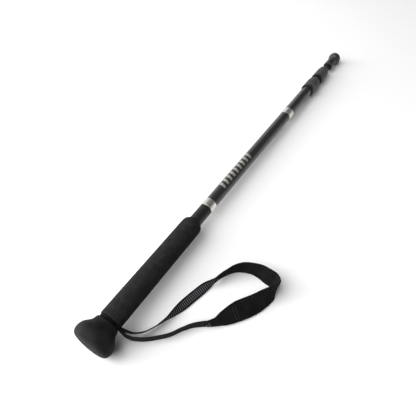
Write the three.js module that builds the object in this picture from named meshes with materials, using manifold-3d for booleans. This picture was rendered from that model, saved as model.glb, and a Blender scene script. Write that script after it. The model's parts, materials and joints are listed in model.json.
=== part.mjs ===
// A telescoping hiking staff with a wrist strap, pushed together and lying on its side.
// Lengths are in millimetres and +Z is up. The staff's own parts are turned about its axis, and each
// is drawn by stations along that axis, counted from the flat of the knob. The strap lies beside it.
import * as THREE from 'three';
import { mergeVertices } from 'three/addons/utils/BufferGeometryUtils.js';
import Module from 'manifold-3d';

const wasm = await Module();
wasm.setup();

// Driving dimensions.
const STAFF_LENGTH = 702;
const KNOB_RADIUS = 25;
const KNOB_WIDEST_AT = 9.5;
const GRIP_RADIUS = 14.5;
const GRIP_START = 36.2;
const GRIP_END = 202.8;
const OUTER_TUBE_RADIUS = 9;
const MIDDLE_TUBE_RADIUS = 7.75;
const TIP_TUBE_RADIUS = 6.5;
const TUBE_WALL = 0.7;
const FOOT_BALL_RADIUS = 11;
const WEBBING_THICKNESS = 1.2;
const PAD_THICKNESS = 3;

// Fits. Turned parts that touch keep FIT between them, because meshes hold 32-bit numbers.
const FIT = 0.25;
const JOINT_GAP = 0.35;
const ROUND_SIDES = 32;
const INNER_SIDES = 24;

// Stations along the staff.
const TAB_START = 33.1;
const TAB_END = 35.5;
const OUTER_TUBE_START = 38.3;
const LOCK_1_START = 562;
const LOCK_1_END = 598;
const LOCK_2_START = 604.5;
const LOCK_2_END = 641.5;
const CONE_END = 650.5;
const FOOT_START = 656.8;
const FOOT_BALL_AT = STAFF_LENGTH - FOOT_BALL_RADIUS;
const GUIDE_LENGTH = 14;
const MIDDLE_TUBE_START = 76;
const TIP_TUBE_START = 108;

// Finishes, one for each kind of surface.
const FINISHES = {
  rubber: { color: 0x1b1b1c, roughness: 0.75, metalness: 0 },
  foam: { color: 0x1f1f20, roughness: 0.9, metalness: 0 },
  tube: { color: 0x2a2a2c, roughness: 0.25, metalness: 0 },
  bareAlloy: { color: 0x9a9ca0, roughness: 0.4, metalness: 1 },
  bright: { color: 0xd4d5d8, roughness: 0.25, metalness: 1 },
  steel: { color: 0x8c8e92, roughness: 0.35, metalness: 1 },
  plastic: { color: 0x2e2f31, roughness: 0.55, metalness: 0 },
  webbing: { color: 0x17171a, roughness: 0.95, metalness: 0 },
  neoprene: { color: 0x202024, roughness: 0.9, metalness: 0 },
};

function named(name, geometry, finish) {
  const mesh = new THREE.Mesh(geometry, new THREE.MeshStandardMaterial(FINISHES[finish]));
  mesh.name = name;
  return mesh;
}

// A turned part from a closed outline of [station, radius] points, laid along +X.
// Its sides start half a facet round, so a flat of it faces the ground.
function turned(outline, sides = INNER_SIDES) {
  const points = outline.map(([station, radius]) => new THREE.Vector2(radius, station));
  if (outline[0][1] > 0) {
    points.push(points[0].clone());
  }
  const geometry = new THREE.LatheGeometry(points, sides, Math.PI / sides);
  geometry.rotateZ(-Math.PI / 2);
  return geometry;
}

// A plain tube or washer.
function hollow(start, end, innerRadius, outerRadius, sides = INNER_SIDES) {
  const outline = [
    [start, innerRadius],
    [start, outerRadius],
    [end, outerRadius],
    [end, innerRadius],
  ];
  return turned(outline, sides);
}

// Points of a circular arc in an outline, from one angle to another in degrees from the staff's axis.
function arc(station, radius, size, from, to, steps) {
  const points = [];
  for (let i = 0; i <= steps; i += 1) {
    const angle = THREE.MathUtils.degToRad(from + ((to - from) * i) / steps);
    points.push([station + size * Math.cos(angle), radius + size * Math.sin(angle)]);
  }
  return points;
}

// Booleans, by way of manifold-3d.
function toSolid(geometry) {
  const bare = geometry.clone();
  bare.deleteAttribute('normal');
  bare.deleteAttribute('uv');
  const welded = mergeVertices(bare, 1e-3);
  const vertProperties = new Float32Array(welded.attributes.position.array);
  const triVerts = new Uint32Array(welded.index.array);
  return new wasm.Manifold(new wasm.Mesh({ numProp: 3, vertProperties, triVerts }));
}

function fromSolid(solid) {
  const { vertProperties, triVerts } = solid.getMesh();
  const geometry = new THREE.BufferGeometry();
  geometry.setAttribute('position', new THREE.BufferAttribute(vertProperties, 3));
  geometry.setIndex(new THREE.BufferAttribute(triVerts, 1));
  return geometry;
}

function cut(geometry, tool) {
  return fromSolid(toSolid(geometry).subtract(toSolid(tool)));
}

// The knob: a soft cover moulded over a hard core, screwed on the stud in the head of the staff.
function makeKnob() {
  const flatRadius = 8;
  const neckEnd = 32.6;
  const stemRadius = 9;
  const discRadius = 16;
  const discStart = 8;
  const discEnd = 14;
  const threadRadius = 3.6;
  const threadDepth = 16;
  const flare = new THREE.CubicBezierCurve(
    new THREE.Vector2(13.5, 24.4),
    new THREE.Vector2(20.5, 23.0),
    new THREE.Vector2(22.5, 15.9),
    new THREE.Vector2(28.5, 15.5),
  );
  const outside = [
    [0, 0],
    [0, flatRadius],
    [0.5, 14.5],
    [1.3, 19],
    [2.7, 22.1],
    [5.2, 24.1],
    [KNOB_WIDEST_AT, KNOB_RADIUS],
    ...flare.getPoints(6).map((point) => [point.x, point.y]),
    [30.6, 15.5],
    [31.8, 14.6],
    [neckEnd, 13.9],
  ];
  const inside = [
    [neckEnd, stemRadius + JOINT_GAP],
    [discEnd + JOINT_GAP, stemRadius + JOINT_GAP],
    [discEnd + JOINT_GAP, discRadius + JOINT_GAP],
    [discStart - JOINT_GAP, discRadius + JOINT_GAP],
    [discStart - JOINT_GAP, 0],
  ];
  const core = [
    [discStart, 0],
    [discStart, discRadius],
    [discEnd, discRadius],
    [discEnd, stemRadius],
    [neckEnd, stemRadius],
    [neckEnd, threadRadius],
    [threadDepth, threadRadius],
    [threadDepth, 0],
  ];
  return [
    named('knob_cover', turned([...outside, ...inside], ROUND_SIDES), 'rubber'),
    named('knob_core', turned(core), 'plastic'),
  ];
}

// The head of the staff: a plug in the tube carries a threaded stud, and the strap's ends sit on it.
// The ends fill the groove under the knob, apart from a notch where the webbing comes out.
function makeHead() {
  const studRadius = 3.1;
  const studStart = 19;
  const studEnd = 52;
  const plugRadius = OUTER_TUBE_RADIUS - TUBE_WALL - FIT;
  const plugEnd = 56;
  const tabRadius = 13.3;
  const notchWidth = 15;
  const notchDepth = 2.3;
  const notch = new THREE.BoxGeometry(8, 2 * notchDepth, notchWidth);
  notch.translate((TAB_START + TAB_END) / 2, -tabRadius, 0);
  const tabs = hollow(TAB_START, TAB_END, studRadius + FIT, tabRadius, ROUND_SIDES);
  const stud = [
    [studStart, 0],
    [studStart, studRadius],
    [studEnd, studRadius],
    [studEnd, 0],
  ];
  const plug = [
    [TAB_END + FIT, studRadius + FIT],
    [TAB_END + FIT, OUTER_TUBE_RADIUS],
    [OUTER_TUBE_START - FIT, OUTER_TUBE_RADIUS],
    [OUTER_TUBE_START - FIT, plugRadius],
    [plugEnd, plugRadius],
    [plugEnd, studRadius + FIT],
  ];
  return [
    named('top_plug', turned(plug), 'bareAlloy'),
    named('knob_stud', turned(stud), 'steel'),
    named('strap_end_tabs', cut(tabs, notch), 'webbing'),
  ];
}

// The grip, the outer tube and its two bright bands.
function makeGripSection() {
  const roundOver = 5.5;
  const taperedRadius = GRIP_RADIUS - 0.3;
  const bore = OUTER_TUBE_RADIUS + FIT;
  const grip = [
    [GRIP_START, bore],
    [GRIP_START, GRIP_RADIUS - 0.8],
    [GRIP_START + 0.8, GRIP_RADIUS],
    ...arc(GRIP_END - roundOver, taperedRadius - roundOver, roundOver, 90, 0, 4),
    [GRIP_END, bore],
  ];
  const tubeEnd = LOCK_1_START + 5;
  const innerRadius = OUTER_TUBE_RADIUS - TUBE_WALL;
  const bandThickness = 0.25;
  const bandBore = OUTER_TUBE_RADIUS + 0.12;
  const band1 = { start: 230.5, length: 13 };
  const band2 = { start: 472.5, length: 15 };
  const makeBand = (name, { start, length }) => (
    named(name, hollow(start, start + length, bandBore, bandBore + bandThickness), 'bright')
  );
  return [
    named('foam_grip', turned(grip, ROUND_SIDES), 'foam'),
    named('outer_tube', hollow(OUTER_TUBE_START, tubeEnd, innerRadius, OUTER_TUBE_RADIUS), 'tube'),
    makeBand('trim_band_1', band1),
    makeBand('trim_band_2', band2),
  ];
}

// One twist lock. A flanged sleeve is bonded to the end of the larger tube. The nut turns on the
// sleeve, and its cone closes a split collet on the smaller tube. A ribbed rubber grip covers the nut.
function makeTwistLock(number, sizes) {
  const { start, end, tubeRadius, innerRadius, flangeRadius, nutRadius, gripRadius, endRadius } = sizes;
  const flangeEnd = start + 5.5;
  const noseEnd = start + 21;
  const noseBore = innerRadius + FIT;
  const noseRadius = nutRadius - 0.95;
  const sleeve = [
    [start, tubeRadius + 0.15],
    [start, flangeRadius - 0.6],
    [start + 0.6, flangeRadius],
    [flangeEnd, flangeRadius],
    [flangeEnd, noseRadius],
    [noseEnd, noseRadius],
    [noseEnd, noseBore],
    [flangeEnd, noseBore],
    [flangeEnd, tubeRadius + 0.15],
  ];
  const nutStart = flangeEnd + JOINT_GAP;
  const nutBore = noseRadius + 0.2;
  const mouthRadius = innerRadius + 0.45;
  const nutEnd = end - 3;
  const nut = [
    [nutStart, nutBore],
    [nutStart, nutRadius],
    [nutEnd, nutRadius],
    [nutEnd, mouthRadius],
    [noseEnd + 1, nutBore],
  ];
  const gripBore = nutRadius + 0.15;
  const grip = [
    [nutStart, gripBore],
    [nutStart, gripRadius],
    [end - 7, gripRadius - 0.35],
    [end - 3.6, gripRadius - 0.8],
    [end - 1.2, endRadius + 0.9],
    [end, endRadius],
    [end, mouthRadius],
    [nutEnd + FIT, mouthRadius],
    [nutEnd + FIT, gripBore],
  ];
  const colletThickness = Math.max(nutBore - mouthRadius - 0.35, 0.4);
  const collet = [
    [noseEnd + FIT, innerRadius + 0.15],
    [noseEnd + FIT, innerRadius + 0.15 + colletThickness],
    [nutEnd - 4, innerRadius + 0.4],
    [nutEnd - 4, innerRadius + 0.15],
  ];
  const slotWidth = 1.2;
  const slotLength = 30;
  const slotHeight = 20;
  const slot = new THREE.BoxGeometry(slotLength, slotWidth, slotHeight);
  slot.translate(noseEnd + 8, 0, -slotHeight / 2);
  return {
    fixed: [
      named(`lock_${number}_sleeve`, turned(sleeve, ROUND_SIDES), 'plastic'),
      named(`lock_${number}_collet`, cut(turned(collet), slot), 'plastic'),
    ],
    turning: [
      named(`lock_${number}_nut`, turned(nut), 'plastic'),
      named(`lock_${number}_grip`, turned(grip, ROUND_SIDES), 'rubber'),
    ],
  };
}

// A sliding tube with the plastic guide that centres its upper end in the larger tube.
function makeSlidingTube(name, start, end, radius, largerBore) {
  const bore = radius - TUBE_WALL;
  const holeRadius = bore - 2;
  const guide = [
    [start - GUIDE_LENGTH - FIT, holeRadius],
    [start - GUIDE_LENGTH - FIT, largerBore - 0.2],
    [start - FIT, largerBore - 0.2],
    [start - FIT, bore - 0.15],
    [start + GUIDE_LENGTH, bore - 0.15],
    [start + GUIDE_LENGTH, holeRadius],
  ];
  return [
    named(`${name}_tube`, hollow(start, end, bore, radius), 'tube'),
    named(`${name}_guide`, turned(guide), 'plastic'),
  ];
}

// The tip: a cone-ended ferrule in the smallest tube, and a rubber ball foot over its stem.
function makeTip() {
  const plugRadius = TIP_TUBE_RADIUS - TUBE_WALL - 0.15;
  const shoulder = LOCK_2_END + 0.4;
  const stemRadius = 4.4;
  const pinRadius = 3.6;
  const stemEnd = 682;
  const ferrule = [
    [shoulder - 22, 0],
    [shoulder - 22, plugRadius],
    [shoulder, plugRadius],
    [shoulder, TIP_TUBE_RADIUS + 0.7],
    [shoulder + 4.4, TIP_TUBE_RADIUS],
    [CONE_END, stemRadius + 0.2],
    [CONE_END + 2, stemRadius],
    [FOOT_START - JOINT_GAP, stemRadius],
    [FOOT_START - JOINT_GAP, pinRadius],
    [stemEnd, pinRadius],
    [stemEnd, 0],
  ];
  const washerStart = stemEnd + FIT;
  const washerEnd = washerStart + 1.5;
  const washerRadius = 6.5;
  const washer = [
    [washerStart, 0],
    [washerStart, washerRadius],
    [washerEnd, washerRadius],
    [washerEnd, 0],
  ];
  const foot = [
    [FOOT_START, pinRadius + FIT],
    [FOOT_START, 7.4],
    [FOOT_START + 0.9, 8.1],
    [673, 7.9],
    [678.5, 7.6],
    ...arc(FOOT_BALL_AT, 0, FOOT_BALL_RADIUS, 140, 0, 9),
    [washerEnd + FIT, 0],
    [washerEnd + FIT, washerRadius + FIT],
    [washerStart - FIT, washerRadius + FIT],
    [washerStart - FIT, pinRadius + FIT],
  ];
  return [
    named('tip_ferrule', turned(ferrule), 'bareAlloy'),
    named('foot_washer', turned(washer), 'steel'),
    named('rubber_foot', turned(foot, ROUND_SIDES), 'rubber'),
  ];
}

// The strap's route on the ground, in the finished object's own place. Each point is
// [x, y, z, lean, width]. Lean is in degrees from standing on edge, towards the inside of the loop.
const FAR_WEBBING_ROUTE = [
  [-315.6, -12.8, 24.4, 0, 12],
  [-315.2, -15.8, 24.2, 0, 12],
  [-314.2, -19.8, 21.8, 2, 12],
  [-312.2, -24, 18, 10, 12],
  [-308.8, -28.6, 14.2, 17, 12],
  [-300.4, -35.3, 10, 20, 12],
  [-287.1, -41.6, 8, 20, 12],
  [-271.8, -46.5, 7, 4, 12],
  [-258, -49.6, 6, -30, 12],
  [-247.7, -51.7, 4.6, -56, 12],
  [-236.3, -54, 3.7, -68, 12],
  [-225, -57, 3.7, -66, 12],
  [-213.3, -60.8, 5.6, -44, 12],
  [-205.4, -64.6, 8, -15, 12],
  [-198.8, -67.8, 9.8, 3, 12],
];
const PAD_ROUTE = [
  [-197.6, -68.4, 9.8, 3, 11.5],
  [-190.5, -70.6, 10, 5, 15.3],
  [-183.5, -73.9, 10.6, 8, 19.3],
  [-174.6, -79.7, 12, 4, 22],
  [-167.1, -88.6, 13.3, 0, 24.8],
  [-162.3, -99.5, 13.7, -3, 25.6],
  [-160.3, -110.5, 13.4, -13, 25.6],
  [-160.9, -119.9, 12.9, -20, 25.5],
  [-162, -129.3, 13.1, -19, 25.6],
  [-166.5, -135.7, 13.5, -12, 25.7],
  [-172.6, -136.3, 13.7, 2, 25.6],
  [-178.3, -135, 13, 19, 25.5],
  [-188.7, -130.5, 11.7, 33, 25.6],
  [-199.4, -125.4, 11.1, 40, 25.9],
  [-209.2, -119.3, 10.5, 46, 26],
  [-218.8, -112.9, 10.5, 46, 26],
  [-228.4, -107.3, 10.3, 41, 23.8],
  [-237.4, -102.1, 9.8, 32, 20.1],
  [-244.4, -97.5, 8.5, 17, 15.2],
  [-250.3, -91.3, 7.4, 8, 12.5],
];
const NEAR_WEBBING_ROUTE = [
  [-252, -88.8, 7, 12, 12],
  [-256.9, -82.6, 6.7, 8, 12],
  [-262.6, -76.4, 6.5, 4, 12],
  [-273.7, -68.3, 6.4, 0, 12],
  [-286.3, -60.7, 6.4, 0, 12],
  [-296, -51.7, 6.4, 0, 12],
  [-302, -45.6, 6.8, 0, 12],
  [-307, -40.1, 7.8, 0, 12],
  [-311, -34.9, 9.8, 0, 12],
  [-314.8, -29.2, 13, 0, 12],
  [-316.8, -23.8, 17.4, 0, 12],
  [-317.3, -19.4, 21.6, 0, 12],
  [-317.3, -15.8, 24, 0, 12],
  [-317.1, -12.8, 24.2, 0, 12],
];

// A flat band swept along its route. It keeps its width and lean between the route's points.
function band(route, thickness, stepsPerPoint) {
  const points = route.map(([x, y, z]) => new THREE.Vector3(x, y, z));
  const path = new THREE.CatmullRomCurve3(points, false, 'centripetal');
  const steps = (route.length - 1) * stepsPerPoint;
  const up = new THREE.Vector3(0, 0, 1);
  const corners = [];
  for (let i = 0; i <= steps; i += 1) {
    const place = i / stepsPerPoint;
    const before = Math.min(Math.floor(place), route.length - 2);
    const [, , , leanBefore, widthBefore] = route[before];
    const [, , , leanAfter, widthAfter] = route[before + 1];
    const leanDegrees = THREE.MathUtils.lerp(leanBefore, leanAfter, place - before);
    const lean = THREE.MathUtils.degToRad(leanDegrees);
    const width = THREE.MathUtils.lerp(widthBefore, widthAfter, place - before);
    const centre = path.getPoint(i / steps);
    const along = path.getTangent(i / steps);
    const inward = new THREE.Vector3().crossVectors(along, up).normalize();
    const upright = new THREE.Vector3().crossVectors(inward, along);
    const across = upright.multiplyScalar(Math.cos(lean)).addScaledVector(inward, Math.sin(lean));
    const through = new THREE.Vector3().crossVectors(along, across);
    for (const [a, b] of [[-1, -1], [1, -1], [1, 1], [-1, 1]]) {
      const corner = centre.clone();
      corner.addScaledVector(across, (a * width) / 2);
      corner.addScaledVector(through, (b * thickness) / 2);
      corners.push(corner.x, corner.y, corner.z);
    }
  }
  const faces = [0, 2, 1, 0, 3, 2];
  for (let i = 0; i < steps; i += 1) {
    for (let side = 0; side < 4; side += 1) {
      const a = 4 * i + side;
      const b = 4 * i + ((side + 1) % 4);
      faces.push(a, b + 4, a + 4, a, b, b + 4);
    }
  }
  const last = 4 * steps;
  faces.push(last, last + 1, last + 2, last, last + 2, last + 3);
  const geometry = new THREE.BufferGeometry();
  geometry.setAttribute('position', new THREE.Float32BufferAttribute(corners, 3));
  geometry.setIndex(faces);
  return geometry;
}

function makeStrap() {
  return [
    named('strap_webbing_far', band(FAR_WEBBING_ROUTE, WEBBING_THICKNESS, 2), 'webbing'),
    named('strap_webbing_near', band(NEAR_WEBBING_ROUTE, WEBBING_THICKNESS, 2), 'webbing'),
    named('strap_pad', band(PAD_ROUTE, PAD_THICKNESS, 2), 'neoprene'),
  ];
}

// Put the staff together along +X.
const lock1 = makeTwistLock(1, {
  start: LOCK_1_START,
  end: LOCK_1_END,
  tubeRadius: OUTER_TUBE_RADIUS,
  innerRadius: MIDDLE_TUBE_RADIUS,
  flangeRadius: 11.1,
  nutRadius: 10,
  gripRadius: 10.8,
  endRadius: 8.8,
});
const lock2 = makeTwistLock(2, {
  start: LOCK_2_START,
  end: LOCK_2_END,
  tubeRadius: MIDDLE_TUBE_RADIUS,
  innerRadius: TIP_TUBE_RADIUS,
  flangeRadius: 10.2,
  nutRadius: 9,
  gripRadius: 9.9,
  endRadius: 7.7,
});
const outerBore = OUTER_TUBE_RADIUS - TUBE_WALL;
const middleBore = MIDDLE_TUBE_RADIUS - TUBE_WALL;
const middleEnd = LOCK_2_START + 5;
const tipEnd = LOCK_2_END + 0.4 - FIT;
const staff = new THREE.Group();
staff.add(...makeKnob(), ...makeHead(), ...makeGripSection(), ...lock1.fixed, ...lock1.turning);
staff.add(...makeSlidingTube('middle', MIDDLE_TUBE_START, middleEnd, MIDDLE_TUBE_RADIUS, outerBore));
staff.add(...lock2.fixed, ...lock2.turning);
staff.add(...makeSlidingTube('tip', TIP_TUBE_START, tipEnd, TIP_TUBE_RADIUS, middleBore));
staff.add(...makeTip());

// Lay it down on the knob and the ball foot, with the middle of its length over the origin.
const restingTilt = Math.asin((KNOB_RADIUS - FOOT_BALL_RADIUS) / (FOOT_BALL_AT - KNOB_WIDEST_AT));
staff.rotation.y = restingTilt;
const extent = new THREE.Box3().setFromObject(staff, true);
staff.position.x = -(extent.min.x + extent.max.x) / 2;
staff.position.z = -extent.min.z;

const object = new THREE.Group();
object.add(staff, ...makeStrap());

export default object;
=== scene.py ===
"""A telescoping hiking staff with a wrist strap, pushed together and lying on its side.

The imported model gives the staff's place, and its pieces are rebuilt here in full detail. Lengths in
the tables are in millimetres. A station is a distance along the staff from the flat of its knob.
"""

import json
import math

import bmesh
import bpy
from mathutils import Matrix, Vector


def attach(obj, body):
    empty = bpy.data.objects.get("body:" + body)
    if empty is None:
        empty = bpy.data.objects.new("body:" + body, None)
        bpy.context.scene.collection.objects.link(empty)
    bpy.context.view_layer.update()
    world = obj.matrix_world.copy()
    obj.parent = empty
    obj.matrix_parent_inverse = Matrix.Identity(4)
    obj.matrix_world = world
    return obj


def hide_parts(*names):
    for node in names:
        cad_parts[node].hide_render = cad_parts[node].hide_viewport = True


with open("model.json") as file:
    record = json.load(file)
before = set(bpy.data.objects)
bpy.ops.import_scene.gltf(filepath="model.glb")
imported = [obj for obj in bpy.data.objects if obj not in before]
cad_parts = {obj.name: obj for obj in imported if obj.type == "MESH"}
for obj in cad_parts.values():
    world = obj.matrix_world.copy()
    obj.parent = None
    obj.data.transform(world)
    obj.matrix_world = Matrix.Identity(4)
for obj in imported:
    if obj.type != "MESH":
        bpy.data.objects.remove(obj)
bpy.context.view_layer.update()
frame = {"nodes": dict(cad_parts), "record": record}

MM = 0.001
KNOB_FLAT = frame["record"]["mounts"][0]
START = Vector(KNOB_FLAT["pos_m"])
AXIS = -Vector(KNOB_FLAT["axis"]).normalized()
SIDE = Vector((0, 1, 0))
TOP = AXIS.cross(SIDE).normalized()
ROUND_SIDES = 96
FINE_SIDES = 128

# Stations where one piece hands over to the next.
KNOB_END = 32.6
GRIP_START = 36.2
GRIP_END = 202.8
TUBE_START = 38.3
BAND_1 = (230.5, 243.5)
BAND_2 = (472.5, 487.5)
LOCK_1 = (562, 598)
LOCK_2 = (604.5, 641.5)
MIDDLE_TUBE = (76, 609.5)
TIP_TUBE = (108, 641.65)
CONE_START = 641.9
FOOT_START = 656.8
FOOT_BALL_AT = 691
FOOT_BALL_RADIUS = 11
OUTER_RADIUS = 9
MIDDLE_RADIUS = 7.75
TIP_RADIUS = 6.5
TUBE_WALL = 0.7

SELVEDGE = 1.5
PAD_CHANNEL = 2.7
# Ribs 1.2 mm apart are too fine to show, so they are drawn this far apart.
RIB_PITCH = 2.7
# How far beside a band's inner face its outer face lies in the map, in metres.
OUTER_FACE_MAP = 0.1
THREAD_SIDES = 6

NO_RADIUS = 1e-6


# ---------------------------------------------------------------- curves and meshes

def centripetal(points, steps):
    """Points on a smooth curve through the given ones, with so many steps from each to the next."""
    points = [Vector(p) for p in points]
    points = [2 * points[0] - points[1], *points, 2 * points[-1] - points[-2]]
    found = []
    for before, a, b, after in zip(points, points[1:], points[2:], points[3:]):
        gaps = [math.sqrt((q - p).length) for p, q in ((before, a), (a, b), (b, after))]
        first = (a - before) / gaps[0] - (b - before) / (gaps[0] + gaps[1]) + (b - a) / gaps[1]
        last = (b - a) / gaps[1] - (after - a) / (gaps[1] + gaps[2]) + (after - b) / gaps[2]
        first, last = first * gaps[1], last * gaps[1]
        for i in range(steps):
            t = i / steps
            found.append(
                a + first * t + (3 * (b - a) - 2 * first - last) * t ** 2
                + (2 * (a - b) + first + last) * t ** 3
            )
    return [*found, points[-2]]


def rounded(corners, steps=4):
    """An outline of (station, radius, rounding) corners, with each corner rounded off.

    It is a ring unless it starts on the axis, where its two ends stay as they are.
    """
    ring = corners[0][1] > 0
    found = []
    for i, (station, radius, size) in enumerate(corners):
        here = Vector((station, radius))
        if size == 0 or (not ring and i in (0, len(corners) - 1)):
            found.append(here)
            continue
        before = Vector(corners[i - 1][:2]) - here
        after = Vector(corners[(i + 1) % len(corners)][:2]) - here
        back = before.normalized() * min(size, 0.45 * before.length)
        on = after.normalized() * min(size, 0.45 * after.length)
        for k in range(steps + 1):
            t = k / steps
            found.append(here + back * (1 - t) ** 2 + on * t ** 2)
    return found


def staff_point(station, radius, angle):
    """A point in metres. Angle 0 is level on the far side from the strap, and 90 degrees is on top."""
    around = SIDE * math.cos(angle) + TOP * math.sin(angle)
    return START + AXIS * (station * MM) + around * (radius * MM)


def finish_mesh(name, bm, material, body):
    """The mesh as a smooth-shaded piece that rides on its body."""
    bmesh.ops.recalc_face_normals(bm, faces=bm.faces)
    mesh = bpy.data.meshes.new(name)
    bm.to_mesh(mesh)
    bm.free()
    mesh.materials.append(material)
    mesh.polygons.foreach_set("use_smooth", [True] * len(mesh.polygons))
    piece = bpy.data.objects.new(name, mesh)
    bpy.context.scene.collection.objects.link(piece)
    level = piece.modifiers.new("even_shading", "WEIGHTED_NORMAL")
    level.keep_sharp = True
    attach(piece, body)
    return piece


def turned(name, outline, material, body, sides=ROUND_SIDES, relief=None):
    """A piece turned about the staff's axis. Its map is in metres: round it, then along it.

    relief(station, radius, angle) is how far the surface stands proud of the outline there.
    """
    bm = bmesh.new()
    size = bm.loops.layers.uv.new("size")
    rings = []
    for station, radius in outline:
        if radius < NO_RADIUS:
            rings.append([bm.verts.new(staff_point(station, 0, 0))])
            continue
        ring = []
        for j in range(sides):
            angle = math.tau * j / sides - math.pi / 2
            proud = relief(station, radius, angle) if relief else 0
            ring.append(bm.verts.new(staff_point(station, radius + proud, angle)))
        rings.append(ring)
    stations = [p[0] for p in outline]
    if outline[0][1] > 0:
        rings.append(rings[0])
        stations.append(stations[0])
    widest = max(p[1] for p in outline) * MM
    for i in range(len(rings) - 1):
        for j in range(sides):
            corners = []
            for at, turn in ((i, j), (i, j + 1), (i + 1, j + 1), (i + 1, j)):
                ring = rings[at]
                corner = ring[turn % sides] if len(ring) > 1 else ring[0]
                if corner not in [c[0] for c in corners]:
                    spot = (math.tau * turn / sides * widest, stations[at] * MM)
                    corners.append((corner, spot))
            face = bm.faces.new([c[0] for c in corners])
            for loop, (_, spot) in zip(face.loops, corners):
                loop[size].uv = spot
    return finish_mesh(name, bm, material, body)


def turned_with_pole(name, outline, material, body):
    """A turned piece whose ring of an outline touches the axis part of the way. The outline is put in
    order from the last point on the axis round to the first, so that it starts and ends there."""
    outer = next(i for i, p in enumerate(outline) if p[1] < NO_RADIUS)
    inner = next(i for i in range(outer + 1, len(outline)) if outline[i][1] < NO_RADIUS)
    return turned(name, [*outline[inner:], *outline[:outer + 1]], material, body)


def tube_outline(start, end, radius, wall=TUBE_WALL, edge=0.2):
    """A plain tube with broken edges."""
    return rounded([
        (start, radius - wall, edge), (start, radius, edge), (end, radius, edge), (end, radius - wall, edge),
    ], 3)


def band_places(route, steps):
    """Where a flat band is at each step of its route: centre, along, across, through, width, run.

    A route's point is (x, y, z, lean, width). Lean is in degrees from standing on edge, towards the
    inside of the loop. The band keeps its width and lean between the points.
    """
    centres = centripetal([p[:3] for p in route], steps)
    places, run = [], 0
    for i, centre in enumerate(centres):
        place = i / steps
        first = min(int(place), len(route) - 2)
        share = place - first
        lean = math.radians(route[first][3] + (route[first + 1][3] - route[first][3]) * share)
        width = route[first][4] + (route[first + 1][4] - route[first][4]) * share
        along = (centres[min(i + 1, len(centres) - 1)] - centres[max(i - 1, 0)]).normalized()
        inward = along.cross(Vector((0, 0, 1))).normalized()
        upright = inward.cross(along)
        across = upright * math.cos(lean) + inward * math.sin(lean)
        if i:
            run += (centre - centres[i - 1]).length
        places.append((centre, along, across, along.cross(across), width, run))
    return places


def band(name, places, section, material, body):
    """A band swept through its places. section(width, run) gives (across, through) points round it.

    Its map is in metres: across it, then along it. The outer face lies OUTER_FACE_MAP beside the inner.
    """
    bm = bmesh.new()
    size = bm.loops.layers.uv.new("size")
    rings, spots = [], []
    for centre, _, across, through, width, run in places:
        outline = section(width, run)
        rings.append([bm.verts.new((centre + across * a + through * t) * MM) for a, t in outline])
        spots.append([(a * MM + (OUTER_FACE_MAP if t < 0 else 0), run * MM) for a, t in outline])
    count = len(rings[0])
    for i in range(len(rings) - 1):
        for j in range(count):
            k = (j + 1) % count
            face = bm.faces.new((rings[i][j], rings[i][k], rings[i + 1][k], rings[i + 1][j]))
            for loop, spot in zip(face.loops, (spots[i][j], spots[i][k], spots[i + 1][k], spots[i + 1][j])):
                loop[size].uv = spot
    for ring, spot in ((rings[0], spots[0]), (rings[-1], spots[-1])):
        face = bm.faces.new(ring)
        for loop, at in zip(face.loops, spot):
            loop[size].uv = at
    return finish_mesh(name, bm, material, body)


# ---------------------------------------------------------------- materials

def linear(colour):
    """A colour from its sRGB hex value, as linear red, green, blue and alpha."""
    channels = [int(colour[i:i + 2], 16) / 255 for i in (1, 3, 5)]
    return (*[c / 12.92 if c <= 0.04045 else ((c + 0.055) / 1.055) ** 2.4 for c in channels], 1)


def node(tree, kind, inputs=None, **settings):
    """One node of a material, with its settings and with its inputs set or linked."""
    made = tree.nodes.new(kind)
    for setting, value in settings.items():
        setattr(made, setting, value)
    for socket, value in (inputs or {}).items():
        if isinstance(value, bpy.types.NodeSocket):
            tree.links.new(value, made.inputs[socket])
        else:
            made.inputs[socket].default_value = value
    return made


def surface(name, **sockets):
    """A new material, with the sockets of its shader set, and its tree."""
    material = bpy.data.materials.new(name)
    material.use_nodes = True
    tree = material.node_tree
    shader = tree.nodes["Principled BSDF"]
    for socket, value in sockets.items():
        shader.inputs[socket.replace("_", " ")].default_value = value
    return material, tree


def own_place(tree):
    """Where a point is on its piece, in metres."""
    return node(tree, "ShaderNodeTexCoord").outputs["Object"]


def size_map(tree):
    """The piece's map in metres: across it or round it, then along it."""
    return node(tree, "ShaderNodeUVMap", uv_map="size").outputs["UV"]


def across_and_along(tree):
    apart = node(tree, "ShaderNodeSeparateXYZ", {0: size_map(tree)})
    return apart.outputs["X"], apart.outputs["Y"]


def between(tree, factor, dark, light):
    """A colour between two, each an sRGB hex value or a socket."""
    dark, light = (linear(c) if isinstance(c, str) else c for c in (dark, light))
    blend = node(tree, "ShaderNodeMix", {"Factor": factor, "A": dark, "B": light}, data_type="RGBA")
    return blend.outputs["Result"]


def finished(material, colour, roughness=None, relief=None):
    """The material, with its colour, its roughness as (value, low, high) and its relief as
    (height, strength, distance in metres). A distance below zero makes high parts sink."""
    tree = material.node_tree
    shader = tree.nodes["Principled BSDF"]
    tree.links.new(colour, shader.inputs["Base Color"])
    if roughness:
        value, low, high = roughness
        rough = node(tree, "ShaderNodeMapRange", {"Value": value, "To Min": low, "To Max": high})
        tree.links.new(rough.outputs[0], shader.inputs["Roughness"])
    if relief:
        height, strength, distance = relief
        bump = node(tree, "ShaderNodeBump", {
            "Height": height, "Strength": strength, "Distance": abs(distance)}, invert=distance < 0)
        tree.links.new(bump.outputs[0], shader.inputs["Normal"])
    return material


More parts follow.
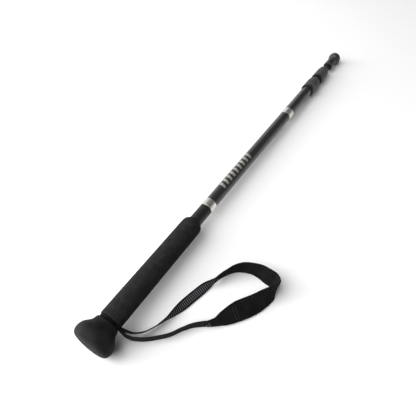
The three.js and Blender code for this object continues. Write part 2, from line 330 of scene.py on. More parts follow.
def moulded_rubber(name, dark, light, roughness, grain_mm, shine, ring_mm=None):
    """Moulded thermoplastic rubber. It is nearly black and dull, with a fine cast grain that breaks up
    the sheen, and slightly dusty patches where hands have polished it unevenly. Where ring_mm is given,
    fine dark lines are painted round it that far apart, as painted shade standing for the grooves of
    the mould's turned rings."""
    material, tree = surface(name, Roughness=roughness, IOR=1.5, Specular_IOR_Level=shine)
    place = own_place(tree)
    patches = node(tree, "ShaderNodeTexNoise", {"Vector": place, "Scale": 55.0, "Detail": 4.0})
    worn = node(tree, "ShaderNodeMapRange", {"Value": patches.outputs[0], "From Min": 0.35, "From Max": 0.65})
    colour = between(tree, worn.outputs[0], dark, light)
    if ring_mm:
        _, along = across_and_along(tree)
        turns = node(tree, "ShaderNodeMath", {0: along, 1: math.tau / (ring_mm * MM)}, operation="MULTIPLY")
        wave = node(tree, "ShaderNodeMath", {0: turns.outputs[0]}, operation="SINE")
        # Painted shade: near-black lines in the colour stand for the grooves of the turned rings.
        groove = node(tree, "ShaderNodeMapRange", {
            "Value": wave.outputs[0], "From Min": 0.1, "From Max": 0.9})
        colour = between(tree, groove.outputs[0], colour, "#0c0c0c")
    # Grain of 0.4 mm is too fine to show, so it is drawn at grain_mm.
    grain = node(tree, "ShaderNodeTexNoise", {"Vector": place, "Scale": 1 / (grain_mm * MM), "Detail": 3.0})
    return finished(material, colour, (grain.outputs[0], roughness - 0.1, roughness + 0.08),
                    (grain.outputs[0], 0.35, 0.00025))


def eva_foam():
    """EVA foam, cut from a closed-cell block and ground round. The burst cells give it a soft, matt,
    slightly mottled skin with a faint velvet edge."""
    material, tree = surface("eva_foam", Roughness=0.82, IOR=1.45, Specular_IOR_Level=0.12)
    place = own_place(tree)
    # Cells of 0.3 mm are drawn 0.9 mm across, so that they show.
    cells = node(tree, "ShaderNodeTexVoronoi", {"Vector": place, "Scale": 1 / 0.0009}, feature="F1")
    mottle = node(tree, "ShaderNodeTexNoise", {"Vector": place, "Scale": 160.0, "Detail": 5.0})
    height = node(tree, "ShaderNodeMath", {
        0: cells.outputs["Distance"], 1: mottle.outputs[0]}, operation="ADD")
    return finished(material, between(tree, mottle.outputs[0], "#202021", "#3e3e40"),
                    relief=(height.outputs[0], 0.5, 0.00025))


def powder_coat():
    """Black powder coat, baked on aluminium. It is smooth and satin, with a faint orange peel."""
    material, tree = surface("satin_black_powder_coat", Roughness=0.4, IOR=1.5)
    place = own_place(tree)
    peel = node(tree, "ShaderNodeTexNoise", {"Vector": place, "Scale": 900.0, "Detail": 2.0})
    wear = node(tree, "ShaderNodeTexNoise", {"Vector": place, "Scale": 70.0, "Detail": 6.0})
    return finished(material, between(tree, wear.outputs[0], "#222123", "#302f31"),
                    (wear.outputs[0], 0.32, 0.48), (peel.outputs[0], 0.12, 0.0001))


def wound_carbon():
    """Carbon fibre tape, wound round a mandrel and clear coated. The turns show as fine crosswise
    lines, the tape shines a little along its fibres, and the clear coat gives sharp long highlights."""
    material, tree = surface(
        "wound_carbon_fibre", Roughness=0.38, IOR=1.5, Coat_Weight=0.8, Coat_Roughness=0.07, Coat_IOR=1.5)
    around, along = across_and_along(tree)
    # Turns of 1.2 mm tape are drawn 3 mm apart, so that they show. They lean by 6 degrees.
    turn_pitch, turn_lean = 0.003, 0.105
    lean = node(tree, "ShaderNodeMath", {0: around, 1: turn_lean, 2: along}, operation="MULTIPLY_ADD")
    turns = node(tree, "ShaderNodeMath", {0: lean.outputs[0], 1: math.tau / turn_pitch}, operation="MULTIPLY")
    wave = node(tree, "ShaderNodeMath", {0: turns.outputs[0]}, operation="SINE")
    line = node(tree, "ShaderNodeMapRange", {"Value": wave.outputs[0], "From Min": -0.6, "From Max": 0.9})
    # Tows cross the turns at a steep angle.
    tow_pitch, tow_lean = 0.0068, 2.2
    cross = node(tree, "ShaderNodeMath", {0: around, 1: tow_lean, 2: along}, operation="MULTIPLY_ADD")
    tows = node(tree, "ShaderNodeMath", {0: cross.outputs[0], 1: math.tau / tow_pitch}, operation="MULTIPLY")
    tow = node(tree, "ShaderNodeMath", {0: tows.outputs[0]}, operation="SINE")
    mixed = node(tree, "ShaderNodeMath", {
        0: tow.outputs[0], 1: 0.12, 2: line.outputs[0]}, operation="MULTIPLY_ADD")
    fleck = node(tree, "ShaderNodeTexNoise", {"Vector": own_place(tree), "Scale": 420.0, "Detail": 4.0})
    tone = node(tree, "ShaderNodeMath", {
        0: fleck.outputs[0], 1: 0.35, 2: mixed.outputs[0]}, operation="MULTIPLY_ADD")
    return finished(material, between(tree, tone.outputs[0], "#090808", "#3f3c3d"),
                    (line.outputs[0], 0.5, 0.3), (line.outputs[0], 0.5, 0.00025))


def brushed_metal(name, dark, light, roughness, scratch_mm):
    """Bare metal, turned or brushed round. Fine rings round it spread the highlights across, and
    handling leaves it a little uneven in tone."""
    material, tree = surface(name, Metallic=1.0, Roughness=roughness)
    _, along = across_and_along(tree)
    scaled = node(tree, "ShaderNodeMath", {0: along, 1: 1 / (scratch_mm * MM)}, operation="MULTIPLY")
    rings = node(tree, "ShaderNodeTexNoise", {
        "W": scaled.outputs[0], "Scale": 1.0, "Detail": 3.0}, noise_dimensions="1D")
    cloud = node(tree, "ShaderNodeTexNoise", {"Vector": own_place(tree), "Scale": 130.0, "Detail": 3.0})
    mixed = node(tree, "ShaderNodeMath", {
        0: rings.outputs[0], 1: cloud.outputs[0], 2: 0.1}, operation="MULTIPLY_ADD")
    tone = node(tree, "ShaderNodeMapRange", {"Value": mixed.outputs[0], "From Min": 0.15, "From Max": 0.6})
    return finished(material, between(tree, tone.outputs[0], dark, light),
                    (rings.outputs[0], roughness - 0.08, roughness + 0.12), (rings.outputs[0], 0.12, 0.00008))


def filled_nylon(name, dark, light, roughness):
    """Glass-filled nylon, moulded in a spark-finished tool. It is a dark warm grey with a fine even
    grain, and the glass near the skin makes pale flecks."""
    material, tree = surface(name, Roughness=roughness, IOR=1.53)
    place = own_place(tree)
    grain = node(tree, "ShaderNodeTexNoise", {"Vector": place, "Scale": 1400.0, "Detail": 2.0})
    cloud = node(tree, "ShaderNodeTexNoise", {"Vector": place, "Scale": 120.0, "Detail": 3.0})
    fleck = node(tree, "ShaderNodeTexVoronoi", {"Vector": place, "Scale": 700.0, "Randomness": 1.0})
    spots = node(tree, "ShaderNodeMapRange", {
        "Value": fleck.outputs["Distance"], "From Min": 0.0, "From Max": 0.25, "To Min": 0.6, "To Max": 0.0})
    tone = node(tree, "ShaderNodeMath", {0: cloud.outputs[0], 1: spots.outputs[0]}, operation="ADD")
    return finished(material, between(tree, tone.outputs[0], dark, light),
                    (grain.outputs[0], roughness - 0.08, roughness + 0.08), (grain.outputs[0], 0.25, 0.00012))


def woven_nylon(name, dark, light, across_mm, along_mm, ribs_to):
    """Nylon, woven as tape. The weft stands up as ribs, and their crests are lightened in colour as a painted
    highlight, with painted shade in the hollows between them. The outer face, and the selvedges beyond
    ribs_to metres, are plain warp and get no painted highlight, so they stay dark."""
    material, tree = surface(name, Roughness=0.6, IOR=1.5, Specular_IOR_Level=0.15)
    across, along = across_and_along(tree)
    warp = node(tree, "ShaderNodeMath", {0: across, 1: math.tau / (across_mm * MM)}, operation="MULTIPLY")
    warp = node(tree, "ShaderNodeMath", {0: warp.outputs[0]}, operation="SINE")
    weft = node(tree, "ShaderNodeMath", {0: along, 1: math.tau / (along_mm * MM)}, operation="MULTIPLY")
    weft = node(tree, "ShaderNodeMath", {0: weft.outputs[0]}, operation="COSINE")
    both = node(tree, "ShaderNodeMath", {
        0: warp.outputs[0], 1: 0.2, 2: weft.outputs[0]}, operation="MULTIPLY_ADD")
    off_centre = node(tree, "ShaderNodeMath", {0: across}, operation="ABSOLUTE")
    ribbed = node(tree, "ShaderNodeMath", {0: off_centre.outputs[0], 1: ribs_to}, operation="LESS_THAN")
    fuzz = node(tree, "ShaderNodeTexNoise", {"Vector": own_place(tree), "Scale": 1800.0, "Detail": 3.0})
    # Painted highlight on the rib crests and painted shade in the hollows between them, kept off the
    # selvedges and the outer face.
    tone = node(tree, "ShaderNodeMapRange", {"Value": both.outputs[0], "From Min": 0.1, "From Max": 1.2})
    tone = node(tree, "ShaderNodeMath", {0: tone.outputs[0], 1: ribbed.outputs[0]}, operation="MULTIPLY")
    tone = node(tree, "ShaderNodeMath", {
        0: fuzz.outputs[0], 1: 0.07, 2: tone.outputs[0]}, operation="MULTIPLY_ADD")
    return finished(material, between(tree, tone.outputs[0], dark, light),
                    relief=(both.outputs[0], 0.4, 0.0001))


def knitted_neoprene():
    """Neoprene foam, faced with knitted nylon. The knit's fine loops make it matt and charcoal, and
    its nap catches light at the edges."""
    material, tree = surface("knitted_neoprene", Roughness=0.85, IOR=1.45, Specular_IOR_Level=0.12)
    # Stitches of 0.5 mm are drawn 1 mm apart, so that they show.
    stretched = node(tree, "ShaderNodeMapping", {"Vector": size_map(tree), "Scale": (1000.0, 700.0, 1.0)})
    loops = node(tree, "ShaderNodeTexVoronoi", {
        "Vector": stretched.outputs[0], "Scale": 1.0, "Randomness": 0.25}, voronoi_dimensions="2D")
    cloud = node(tree, "ShaderNodeTexNoise", {"Vector": own_place(tree), "Scale": 90.0, "Detail": 5.0})
    tone = node(tree, "ShaderNodeMath", {
        0: loops.outputs["Distance"], 1: -0.5, 2: cloud.outputs[0]}, operation="MULTIPLY_ADD")
    tone = node(tree, "ShaderNodeMapRange", {"Value": tone.outputs[0], "From Min": 0.0, "From Max": 0.6})
    return finished(material, between(tree, tone.outputs[0], "#151516", "#2b2b2d"),
                    relief=(loops.outputs["Distance"], 0.4, -0.0002))


def polyester_thread():
    """Bonded polyester thread. It is smooth and twisted, nearly the colour of the cloth it is sewn in."""
    material, tree = surface("polyester_thread", Roughness=0.45, IOR=1.55, Sheen_Weight=0.2)
    twist = node(tree, "ShaderNodeTexNoise", {"Vector": own_place(tree), "Scale": 2500.0, "Detail": 1.0})
    return finished(material, between(tree, twist.outputs[0], "#161618", "#28282b"))


def silver_ink():
    """Silver ink, pad printed on the clear coat. Its metal flakes make it grainy and bright."""
    material, tree = surface("silver_ink", Metallic=0.7, Roughness=0.42)
    flakes = node(tree, "ShaderNodeTexNoise", {"Vector": own_place(tree), "Scale": 900.0, "Detail": 3.0})
    return finished(material, between(tree, flakes.outputs[0], "#9c9a94", "#dedbd4"))


KNOB_RUBBER = moulded_rubber("soft_moulded_rubber", "#1b1b1c", "#303032", 0.62, 0.9, 0.15)
# The lines 3 mm apart round the lock grips are painted shade for the turned rings' grooves.
LOCK_RUBBER = moulded_rubber("ribbed_moulded_rubber", "#565654", "#747471", 0.45, 0.9, 0.35, 3.0)
FOOT_RUBBER = moulded_rubber("hard_foot_rubber", "#2e2e2e", "#4c4c4a", 0.4, 1.1, 0.45)
FOAM = eva_foam()
SATIN_COAT = powder_coat()
CARBON = wound_carbon()
BRIGHT_BAND = brushed_metal("polished_aluminium", "#d8d5ce", "#f6f3ee", 0.34, 0.5)
TURNED_ALLOY = brushed_metal("turned_aluminium", "#8f9194", "#c3c5c8", 0.36, 0.35)
ZINC_STEEL = brushed_metal("zinc_plated_steel", "#85868a", "#b4b6ba", 0.34, 0.4)
LOCK_NYLON = filled_nylon("glass_filled_nylon", "#252524", "#3a3938", 0.45)
INNER_NYLON = filled_nylon("plain_moulded_nylon", "#1f2022", "#303134", 0.5)
# The lighter colour is the painted highlight on the webbing's rib crests.
WEBBING = woven_nylon("nylon_webbing", "#020203", "#8c8c90", 0.8, RIB_PITCH, 0.0042)
NEOPRENE = knitted_neoprene()
THREAD = polyester_thread()
SILVER_INK = silver_ink()


# ---------------------------------------------------------------- knob and grip

def make_knob():
    """A soft mushroom knob. Its crown is nearly flat, and its neck flares to a rolled lip."""
    crown = [(0, 8.2), (0.25, 12), (0.8, 16.6), (1.7, 20.2), (3.1, 22.7), (5.4, 24.2), (9.5, 25)]
    flare = [
        (9.5, 25), (12.5, 24.75), (15.6, 23.9), (17.8, 22.7), (19.9, 21.1), (22, 19.2),
        (24.1, 17.6), (26.2, 16.5), (28.2, 15.8), (29.6, 15.55),
    ]
    lip = [(30.4, 15.45), (31.3, 15.05), (32, 14.4), (32.4, 13.7), (KNOB_END, 12.9)]
    outside = centripetal([*crown, *flare[1:], *lip], 5)
    hollow = [(KNOB_END, 9.35), (14.35, 9.35), (14.35, 16.35), (7.65, 16.35), (7.65, 0)]
    outline = [Vector((0, 0)), Vector((0, 7.4)), *outside, *[Vector(p) for p in hollow]]
    piece = turned("knob_cover_rubber", outline, KNOB_RUBBER, "knob", FINE_SIDES)
    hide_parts("knob_cover")


def make_grip():
    """A long foam grip with a broken edge at the knob and a tapered, rounded end at the tube."""
    bore, radius = OUTER_RADIUS + 0.25, 14.5
    shoulder = centripetal([
        (186, 14.25), (192, 14.2), (195, 14.05), (197.2, 13.65), (199, 12.85), (200.6, 11.75), (201.9, 10.6),
    ], 4)
    head = rounded([(GRIP_START, bore, 0.3), (GRIP_START, radius, 0.9), (60, radius, 0)], 5)
    tail = rounded([(201.9, 10.6, 0), (GRIP_END, 9.9, 0.3), (GRIP_END, bore, 0.2)], 3)
    body = [Vector((60 + 14 * i, radius - 0.03 * i)) for i in range(1, 9)]
    outline = [*head, *body, *shoulder, *tail[1:]]
    piece = turned("foam_grip_sleeve", outline, FOAM, "grip_section", FINE_SIDES)
    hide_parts("foam_grip")


def make_tabs():
    """The strap's two ends are folded round the stud and clamped in the groove under the knob."""
    outline = rounded([(33.1, 3.4, 0.3), (33.1, 13.3, 0.5), (34.2, 13.3, 0.3), (34.3, 13, 0.1),
                       (34.4, 13.3, 0.3), (35.5, 13.3, 0.5), (35.5, 3.4, 0.3)], 3)
    opening, slope, depth = math.radians(38), 0.08, 2.3

    def notch(station, radius, angle):
        """The rim is cut back where the two runs of webbing come out."""
        from_strap = abs(math.remainder(angle - math.pi, math.tau))
        return -depth * (radius > 12) * min(1, max(0, (opening - from_strap) / slope))

    piece = turned("strap_end_loops", outline, WEBBING, "grip_section", FINE_SIDES, notch)
    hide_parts("strap_end_tabs")


# ---------------------------------------------------------------- tubes and bands

def make_tubes():
    """The outer tube has a satin part by the grip and a clear-coated part beyond. The others slide."""
    satin_end = BAND_1[0] + 1
    satin, wound = (TUBE_START, satin_end), (satin_end + 0.05, LOCK_1[0] + 5)
    for name, covered, (start, end), radius, material, body in (
        ("outer_tube_satin", "outer_tube", satin, OUTER_RADIUS, SATIN_COAT, "grip_section"),
        ("outer_tube_wound", "outer_tube", wound, OUTER_RADIUS, CARBON, "grip_section"),
        ("middle_tube_wound", "middle_tube", MIDDLE_TUBE, MIDDLE_RADIUS, CARBON, "middle_section"),
        ("tip_tube_wound", "tip_tube", TIP_TUBE, TIP_RADIUS, CARBON, "tip_section"),
    ):
        piece = turned(name, tube_outline(start, end, radius), material, body)
        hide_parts(covered)


def make_band(number, start, end):
    """A bright rolled band. Its edges are crimped down on the tube."""
    bore, crimp = OUTER_RADIUS + 0.06, 0.9
    edge, face = bore + 0.22, bore + 0.42
    outline = rounded([
        (start, bore, 0.05), (start, edge, 0.2), (start + crimp, face, 0.4),
        (end - crimp, face, 0.4), (end, edge, 0.2), (end, bore, 0.05),
    ])
    piece = turned(f"trim_band_{number}_bright", outline, BRIGHT_BAND, "grip_section")
    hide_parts(f"trim_band_{number}")


def make_print():
    """A row of slanted silver bars printed on the upper side of the tube, as a plain decoration."""
    bars = 9
    first, pitch, width, slant = 271, 9.1, 4.4, 3.2
    low, high = math.radians(52), math.radians(122)
    under, over = OUTER_RADIUS - 0.02, OUTER_RADIUS + 0.035
    rows = 14
    bm = bmesh.new()
    bm.loops.layers.uv.new("size")
    for bar in range(bars):
        grid = []
        for i in range(rows + 1):
            share = i / rows
            angle = low + (high - low) * share
            station = first + bar * pitch + slant * (1 - share)
            grid.append([
                [bm.verts.new(staff_point(station + x, radius, angle)) for x in (0, width / 2, width)]
                for radius in (under, over)
            ])
        for a, b in zip(grid, grid[1:]):
            for x in (0, 1):
                bm.faces.new((a[1][x], a[1][x + 1], b[1][x + 1], b[1][x]))
                bm.faces.new((a[0][x], b[0][x], b[0][x + 1], a[0][x + 1]))
            bm.faces.new((a[0][0], a[1][0], b[1][0], b[0][0]))
            bm.faces.new((a[0][2], b[0][2], b[1][2], a[1][2]))
        for end in (grid[0], grid[-1]):
            for x in (0, 1):
                bm.faces.new((end[0][x], end[0][x + 1], end[1][x + 1], end[1][x]))
    finish_mesh("tube_print_bars", bm, SILVER_INK, "grip_section")


# ---------------------------------------------------------------- twist locks

def make_lock(number, ends, tube, inner, flange, nut, grip, grip_end, bodies):
    """A twist lock. The sleeve's flange is a flared mouth, hollowed round the tube that it holds. The
    nut turns beyond it, under a ribbed rubber grip. The sizes are radii."""
    start, end = ends
    flange_end = start + 5.5
    nose = nut - 0.95
    mouth = rounded([
        (start, flange - 0.75, 0.25), (start, flange - 0.25, 0.2), (start + 0.7, flange, 0.5),
        (flange_end - 0.5, flange, 0.4), (flange_end, flange - 0.5, 0.3), (flange_end, nose, 0.15),
        (start + 21, nose, 0.3), (start + 21, inner + 0.25, 0.2), (flange_end, inner + 0.25, 0.1),
        (flange_end, tube + 0.15, 0.1), (start + 2.6, tube + 0.15, 0.2), (start + 2.6, flange - 1.3, 0.4),
    ])
    sleeve = turned(f"lock_{number}_flange", mouth, LOCK_NYLON, bodies[0])
    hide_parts(f"lock_{number}_sleeve")

    first = flange_end + 0.35
    hole = inner + 0.45
    skin = [
        (first, grip - 0.75), (first + 0.15, grip - 0.35), (first + 0.6, grip - 0.15),
        (first + 1.6, grip - 0.1), (end - 12, grip - 0.3), (end - 8, grip - 0.5), (end - 5, grip - 0.95),
        (end - 2.6, (grip + grip_end) / 2 - 0.35), (end - 1, grip_end + 0.35),
        (end - 0.2, grip_end - 0.1), (end, grip_end - 0.6),
    ]
    outside = centripetal(skin, 4)
    inside = [(end, hole), (end - 2.75, hole), (end - 2.75, nut + 0.15), (first, nut + 0.15)]
    ribs, height = 34, 0.32

    def relief(station, radius, angle):
        """Lengthwise ribs on the outside, which fade out towards both ends."""
        fade = min(1, max(0, (station - first - 1) / 1.5), max(0, (end - 3.5 - station) / 3))
        outer = radius > nut + 0.25
        return height * fade * outer * (0.5 + 0.5 * math.cos(ribs * angle)) ** 0.7

    cover = turned(f"lock_{number}_ribbed_grip", [*outside, *[Vector(p) for p in inside]], LOCK_RUBBER,
                   bodies[1], ribs * 8, relief)
    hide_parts(f"lock_{number}_grip")


# ---------------------------------------------------------------- tip

def make_tip():
    """The tip's cone and stem in moulded nylon, and the ball foot pushed over the stem."""
    plug = TIP_RADIUS - TUBE_WALL - 0.15
    cone = centripetal([
        (CONE_START + 0.5, TIP_RADIUS + 0.7), (643.6, 7), (645.6, 6.5), (647.4, 5.85), (649, 5.2),
        (650.6, 4.72), (652.4, 4.5), (654.4, 4.42), (658.6, 4.4),
    ], 4)
    back = rounded([
        (CONE_START - 22, 0, 0), (CONE_START - 22, plug, 0.4), (CONE_START, plug, 0.1),
        (CONE_START, TIP_RADIUS + 0.45, 0.2), (CONE_START + 0.5, TIP_RADIUS + 0.7, 0),
    ])
    stem = [(659, 3.6), (682, 3.6), (682, 0)]
    outline = [*back, *cone[1:], *[Vector(p) for p in stem]]
    ferrule = turned("tip_cone", outline, LOCK_NYLON, "tip_section")
    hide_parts("tip_ferrule")

    ball_from, ball_steps = math.radians(138), 28
    ball = []
    for i in range(ball_steps + 1):
        angle = ball_from * (1 - i / ball_steps)
        ball.append(Vector((
            FOOT_BALL_AT + FOOT_BALL_RADIUS * math.cos(angle), FOOT_BALL_RADIUS * math.sin(angle),
        )))
    skirt = rounded([
        (659.2, 3.85, 0.2), (659.2, 6.3, 0.5), (FOOT_START + 0.1, 6.9, 0.2), (FOOT_START, 7.5, 0.3),
        (FOOT_START + 0.8, 8.15, 0.6), (668, 8.05, 3), (675, 7.85, 2),
    ])
    waist = centripetal([(675, 7.85), (677.8, 7.7), (680.3, 7.75), tuple(ball[0])], 4)
    inside = [(683.75, 0), (683.75, 6.75), (681.95, 6.75), (681.95, 3.85)]
    outline = [*skirt, *waist[1:], *ball[1:-1], Vector((FOOT_BALL_AT + FOOT_BALL_RADIUS, 0)),
               *[Vector(p) for p in inside]]
    foot = turned_with_pole("ball_foot", outline, FOOT_RUBBER, "tip_section")
    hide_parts("rubber_foot")


# ---------------------------------------------------------------- wrist strap

FAR_WEBBING_ROUTE = [
    (-315.6, -12.8, 24.4, 0, 12), (-315.2, -15.8, 24.2, 0, 12), (-314.2, -19.8, 21.8, 2, 12),
    (-312.2, -24, 18, 10, 12), (-308.8, -28.6, 14.2, 17, 12), (-300.4, -35.3, 10, 20, 12),
    (-287.1, -41.6, 8, 20, 12), (-271.8, -46.5, 7, 4, 12), (-258, -49.6, 6, -30, 12),
    (-247.7, -51.7, 4.6, -56, 12), (-236.3, -54, 3.7, -68, 12), (-225, -57, 3.7, -66, 12),
    (-213.3, -60.8, 5.6, -44, 12), (-205.4, -64.6, 8, -15, 12), (-198.8, -67.8, 9.8, 3, 12),
]
PAD_ROUTE = [
    (-197.6, -68.4, 9.8, 3, 11.5), (-190.5, -70.6, 10, 5, 15.3), (-183.5, -73.9, 10.6, 8, 19.3),
    (-174.6, -79.7, 12, 4, 22), (-167.1, -88.6, 13.3, 0, 24.8), (-162.3, -99.5, 13.7, -3, 25.6),
    (-160.3, -110.5, 13.4, -13, 25.6), (-160.9, -119.9, 12.9, -20, 25.5), (-162, -129.3, 13.1, -19, 25.6),
    (-166.5, -135.7, 13.5, -12, 25.7), (-172.6, -136.3, 13.7, 2, 25.6), (-178.3, -135, 13, 19, 25.5),
    (-188.7, -130.5, 11.7, 33, 25.6), (-199.4, -125.4, 11.1, 40, 25.9), (-209.2, -119.3, 10.5, 46, 26),
    (-218.8, -112.9, 10.5, 46, 26), (-228.4, -107.3, 10.3, 41, 23.8), (-237.4, -102.1, 9.8, 32, 20.1),
    (-244.4, -97.5, 8.5, 17, 15.2), (-250.3, -91.3, 7.4, 8, 12.5),
]
NEAR_WEBBING_ROUTE = [
    (-252, -88.8, 7, 12, 12), (-256.9, -82.6, 6.7, 8, 12), (-262.6, -76.4, 6.5, 4, 12),
    (-273.7, -68.3, 6.4, 0, 12), (-286.3, -60.7, 6.4, 0, 12), (-296, -51.7, 6.4, 0, 12),
    (-302, -45.6, 6.8, 0, 12), (-307, -40.1, 7.8, 0, 12), (-311, -34.9, 9.8, 0, 12),
    (-314.8, -29.2, 13, 0, 12), (-316.8, -23.8, 17.4, 0, 12), (-317.3, -19.4, 21.6, 0, 12),
    (-317.3, -15.8, 24, 0, 12), (-317.1, -12.8, 24.2, 0, 12),
]


def webbing_section(width, run):
    """Round a piece of webbing: a plain outer face, and on the inner one ribs between selvedges."""
    edge, plain = width / 2, width / 2 - SELVEDGE
    thick = 0.5
    rib = thick + 0.3 * max(0, math.cos(math.tau * run / RIB_PITCH)) ** 0.8
    half = [(-edge, 0.2), (-edge + 0.2, 0.42), (-edge + 0.6, thick), (-plain, thick), (-plain + 0.5, rib),
            (-plain / 2, rib), (0, rib), (plain / 2, rib), (plain - 0.5, rib), (plain, thick),
            (edge - 0.6, thick), (edge - 0.2, 0.42), (edge, 0.2)]
    return [*half, *[(a, -min(t, thick)) for a, t in reversed(half)]]


def pad_section(width, run):
    """Round the padded band: a crowned middle, a sewn channel inside each edge, and the edge itself."""
    edge = width / 2
    crown = 1.35 + 0.012 * width
    rim = [(0, 0.35), (0.15, 0.8), (0.7, 1.05), (1.9, 1.05), (PAD_CHANNEL, 0.9), (3.6, 1.25)]
    half = [*[(a - edge, t) for a, t in rim], (-edge * 0.5, crown), (0, crown + 0.1), (edge * 0.5, crown),
            *[(edge - a, t) for a, t in reversed(rim)]]
    return [*half, *[(a, -t) for a, t in reversed(half)]]


def lengthened(route, before, after):
    """The route with its ends run on in a straight line, by so many millimetres."""
    first, last = Vector(route[0][:3]), Vector(route[-1][:3])
    back = (first - Vector(route[1][:3])).normalized() * before
    on = (last - Vector(route[-2][:3])).normalized() * after
    found = list(route)
    if before:
        found.insert(0, (*(first + back), *route[0][3:]))
    if after:
        found.append((*(last + on), *route[-1][3:]))
    return found


def add_thread(bm, run, thick, flatness):
    """One stitch, through the (middle, sideways, through) places of its run."""
    turns = [math.tau * k / THREAD_SIDES for k in range(THREAD_SIDES)]
    rings = [
        [bm.verts.new((middle + sideways * (thick * math.cos(turn))
                       + through * (thick * flatness * math.sin(turn))) * MM) for turn in turns]
        for middle, sideways, through in run
    ]
    for a, b in zip(rings, rings[1:]):
        for j in range(THREAD_SIDES):
            k = (j + 1) % THREAD_SIDES
            bm.faces.new((a[j], a[k], b[k], b[j]))
    bm.faces.new(rings[0])
    bm.faces.new(list(reversed(rings[-1])))


def arch(share, power):
    """How far up a stitch stands, from 0 where it dips into the cloth at its ends to 1."""
    return math.sin(math.pi * share) ** power if 0 < share < 1 else 0


def edge_stitches(bm, places, edge, side):
    """Running stitches along a band, down the sewn channel at one edge and on one face."""
    length, gap, thick, lift = 2.2, 0.9, 0.28, 0.95
    count = int((places[-1][5] - 2 * gap) / (length + gap))
    for i in range(count):
        start = gap + i * (length + gap)
        picked = [p for p in places if start <= p[5] <= start + length]
        if len(picked) < 2:
            continue
        run = []
        for j, (centre, _, across, through, width, _) in enumerate(picked):
            height = side * (lift - 0.25 + 0.35 * arch(j / (len(picked) - 1), 0.5))
            middle = centre + across * (edge * (width / 2 - PAD_CHANNEL)) + through * height
            run.append((middle, across, through))
        add_thread(bm, run, thick, 0.8)


def cross_stitches(bm, places, run_at, rows, spacing, half_width, lift):
    """Rows of thread across the band, on both faces. Close rows make a bar tack."""
    thick, steps = 0.25, 8
    for row in range(rows):
        run_here = run_at + row * spacing
        centre, along, across, through, _, _ = min(places, key=lambda p: abs(p[5] - run_here))
        for side in (-1, 1):
            run = []
            for i in range(steps + 1):
                share = i / steps
                height = side * (lift - 0.2 + 0.3 * arch(share, 0.4))
                middle = centre + across * (half_width * (2 * share - 1)) + through * height
                run.append((middle, along, through))
            add_thread(bm, run, thick, 1)


def make_strap():
    """The wrist strap: two runs of webbing from the groove under the knob, sewn into a padded band."""
    in_groove, under_webbing = 4, 3
    far = band_places(lengthened(FAR_WEBBING_ROUTE, in_groove, 0), 32)
    near = band_places(lengthened(NEAR_WEBBING_ROUTE, 0, in_groove), 32)
    pad = band_places(lengthened(PAD_ROUTE, under_webbing, under_webbing), 12)
    for name, places, covered, end in (
        ("strap_webbing_far_run", far, "strap_webbing_far", FAR_WEBBING_ROUTE[0]),
        ("strap_webbing_near_run", near, "strap_webbing_near", NEAR_WEBBING_ROUTE[-1]),
    ):
        piece = band(name, places, webbing_section, WEBBING, "grip_section")
        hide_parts(covered)
    cover = band("strap_padded_band", pad, pad_section, NEOPRENE, "grip_section")
    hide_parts("strap_pad")

    bm = bmesh.new()
    bm.loops.layers.uv.new("size")
    for side in (-1, 1):
        for edge in (-1, 1):
            edge_stitches(bm, pad, edge, side)
    total = pad[-1][5]
    for tack_at in (1.2, total - 4.2):
        cross_stitches(bm, pad, tack_at, rows=4, spacing=0.8, half_width=4.2, lift=1.45)
    cross_stitches(bm, pad, total - 39, rows=2, spacing=3.8, half_width=9.5, lift=1.62)
    finish_mesh("strap_stitching", bm, THREAD, "grip_section")


# ---------------------------------------------------------------- put together

make_knob()
make_grip()
make_tabs()
make_tubes()
make_band(1, *BAND_1)
make_band(2, *BAND_2)
make_print()
make_lock(1, LOCK_1, OUTER_RADIUS, MIDDLE_RADIUS, 11.1, 10, 10.95, 8.9, ("grip_section", "upper_lock"))
make_lock(2, LOCK_2, MIDDLE_RADIUS, TIP_RADIUS, 10.2, 9, 10, 7.8, ("middle_section", "lower_lock"))
make_tip()
make_strap()

KEPT_NODES = {
    "knob_core": INNER_NYLON, "top_plug": TURNED_ALLOY, "knob_stud": ZINC_STEEL,
    "foot_washer": ZINC_STEEL, "middle_guide": INNER_NYLON, "tip_guide": INNER_NYLON,
    "lock_1_nut": INNER_NYLON, "lock_2_nut": INNER_NYLON,
    "lock_1_collet": INNER_NYLON, "lock_2_collet": INNER_NYLON,
}
for name, material in KEPT_NODES.items():
    for shown in frame["nodes"][name].material_slots:
        shown.material = material


# ---------------------------------------------------------------- floor, light and camera

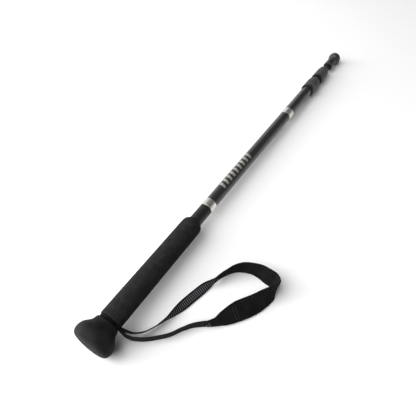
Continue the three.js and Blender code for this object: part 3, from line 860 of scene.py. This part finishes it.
def studio_floor():
    """White studio paper, laid flat. It is matt, and faintly fibrous close up."""
    material, tree = surface("white_studio_paper", Roughness=0.9, IOR=1.4)
    fibre = node(tree, "ShaderNodeTexNoise", {"Vector": own_place(tree), "Scale": 300.0, "Detail": 4.0})
    finished(material, between(tree, fibre.outputs[0], "#f4f4f4", "#f9f9f9"))
    half, top = 4.0, -0.0002
    corners = ((-1, -1), (1, -1), (1, 1), (-1, 1))
    bm = bmesh.new()
    bm.faces.new([bm.verts.new((x * half, y * half, top)) for x, y in corners])
    mesh = bpy.data.meshes.new("studio_floor")
    bm.to_mesh(mesh)
    bm.free()
    mesh.materials.append(material)
    floor = bpy.data.objects.new("studio_floor", mesh)
    bpy.context.scene.collection.objects.link(floor)


def softbox(name, place, towards, width, height, watts):
    """A soft white area light that faces a point."""
    data = bpy.data.lights.new(name, "AREA")
    data.shape = "RECTANGLE"
    data.size, data.size_y = width, height
    data.energy = watts
    lamp = bpy.data.objects.new(name, data)
    lamp.location = place
    lamp.rotation_euler = (Vector(towards) - Vector(place)).to_track_quat("-Z", "Y").to_euler()
    bpy.context.scene.collection.objects.link(lamp)


def studio_world(brightness):
    """Even white light from all round, as from the walls of a pale room."""
    world = bpy.data.worlds.new("studio_air")
    world.use_nodes = True
    ground = world.node_tree.nodes["Background"]
    ground.inputs["Color"].default_value = linear("#ffffff")
    ground.inputs["Strength"].default_value = brightness
    bpy.context.scene.world = world


def studio_camera():
    """A 34 mm lens above the knob's side of the staff, looking down along it."""
    data = bpy.data.cameras.new("studio_camera")
    data.sensor_width = 36
    data.lens = 34.36
    data.clip_end = 50
    camera = bpy.data.objects.new("studio_camera", data)
    camera.location = (-0.39680, -0.18707, 0.45879)
    camera.rotation_euler = Vector((0.50627, 0.33604, -0.79421)).to_track_quat("-Z", "Y").to_euler()
    bpy.context.scene.collection.objects.link(camera)
    bpy.context.scene.camera = camera


studio_floor()
studio_world(0.17)
softbox("key_softbox", (-1.3, 0.9, 2.1), (0, 0, 0), 3.2, 3.2, 111)
softbox("low_softbox", (-1.3, 2.0, 0.7), (0, 0, 0), 1.6, 1.0, 36)
softbox("side_softbox", (1.6, 1.7, 0.9), (0.1, 0, 0), 2.0, 1.2, 8)
softbox("strip_light", (1.5, -1.5, 0.32), (0.1, 0, 0), 2.2, 0.1, 2.4)
studio_camera()
bpy.context.scene.view_settings.view_transform = "Standard"
bpy.context.scene.view_settings.gamma = 0.85
